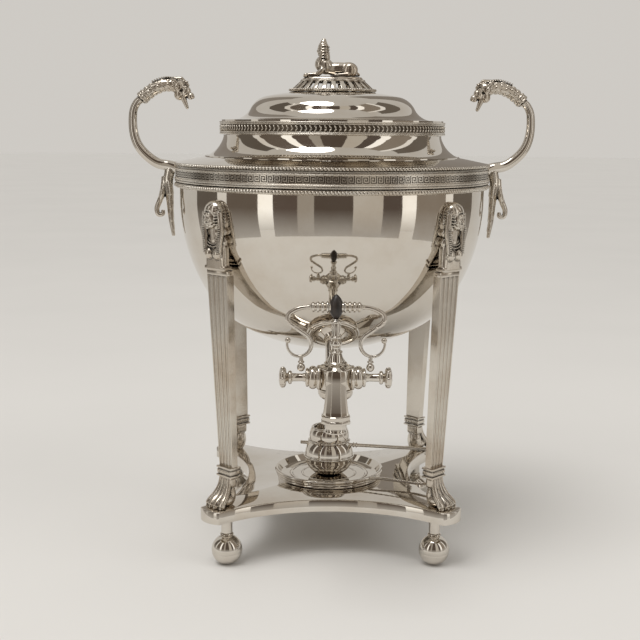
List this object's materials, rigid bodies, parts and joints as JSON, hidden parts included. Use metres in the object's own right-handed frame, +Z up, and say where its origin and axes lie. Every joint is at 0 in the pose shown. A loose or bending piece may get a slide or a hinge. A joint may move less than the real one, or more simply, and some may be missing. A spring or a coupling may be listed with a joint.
{
  "type": "hot water urn",
  "caption": "Footed hot water urn with lift-off cover, scroll handles, a front tap with a turning key and a spirit lamp on the base plate.",
  "frame": {"origin": "on the table under the axis of the bowl, midway between the four ball feet", "axes": "+Z up, the tap faces -Y, +X to the right of a viewer who faces the tap"},
  "size_m": [0.3393, 0.3219, 0.42],
  "materials": {
    "polished_silver": "mirror polished silver plate",
    "cast_silver": "cast and chased silver plate with dark oxidised recesses",
    "frieze_silver": "die-struck silver plate borders with dark recesses",
    "plug_brass": "turned and ground",
    "fastener_steel": "turned",
    "ebony": "turned and waxed ebony",
    "cotton_wick": "braided cotton"
  },
  "bodies": {
    "urn": {"ball_foot_back_left": "polished_silver", "ball_foot_back_right": "polished_silver", "ball_foot_front_left": "polished_silver", "ball_foot_front_right": "polished_silver", "base_plate": "polished_silver", "bowl": "polished_silver", "foot_studs": "fastener_steel", "handle_collar_left": "cast_silver", "handle_collar_right": "cast_silver", "handle_head_left": "cast_silver", "handle_head_right": "cast_silver", "handle_mount_left": "cast_silver", "handle_mount_right": "cast_silver", "handle_tube_left": "polished_silver", "handle_tube_right": "polished_silver", "key_frieze": "frieze_silver", "leg_bust_back_left": "cast_silver", "leg_bust_back_right": "cast_silver", "leg_bust_front_left": "cast_silver", "leg_bust_front_right": "cast_silver", "leg_collars": "cast_silver", "leg_paw_back_left": "cast_silver", "leg_paw_back_right": "cast_silver", "leg_paw_front_left": "cast_silver", "leg_paw_front_right": "cast_silver", "leg_shaft_back_left": "cast_silver", "leg_shaft_back_right": "cast_silver", "leg_shaft_front_left": "cast_silver", "leg_shaft_front_right": "cast_silver", "lower_moulding": "frieze_silver", "shoulder": "polished_silver", "tap_backnut": "fastener_steel", "tap_body": "polished_silver", "tap_cross_arms": "polished_silver", "tap_flange": "polished_silver", "tap_nozzle": "polished_silver", "tap_pipe": "polished_silver", "tap_spout": "polished_silver", "upper_moulding": "frieze_silver"},
    "cover": {"cover_dome": "polished_silver", "cover_band": "frieze_silver", "cover_bezel": "polished_silver", "gallery": "cast_silver", "sphinx": "cast_silver", "finial_stud": "fastener_steel"},
    "tap_key": {"key_bead": "ebony", "key_ferrules": "polished_silver", "key_scroll_left": "polished_silver", "key_scroll_right": "polished_silver", "key_stem": "polished_silver", "tap_plug": "plug_brass", "plug_washer_nut": "fastener_steel"},
    "lamp_tray": {"lamp_tray": "polished_silver", "tray_handle": "polished_silver"},
    "burner": {"burner_body": "polished_silver", "burner_top": "polished_silver", "burner_rod": "polished_silver", "wick": "cotton_wick"}
  },
  "joints": [
    {"name": "cover_lift", "type": "slide", "parent": "urn", "child": "cover", "axis": [0, 0, 1], "range_m": [0, 0.06]},
    {"name": "tap_turn", "type": "hinge", "parent": "urn", "child": "tap_key", "pos_m": [0, -0.168, 0.17], "axis": [0, 0, 1], "range_deg": [0, 90]},
    {"name": "tray_slide", "type": "slide", "parent": "urn", "child": "lamp_tray", "axis": [1, 0, 0], "range_m": [0, 0.11]},
    {"name": "burner_lift", "type": "slide", "parent": "lamp_tray", "child": "burner", "axis": [0, 0, 1], "range_m": [0, 0.03]}
  ]
}
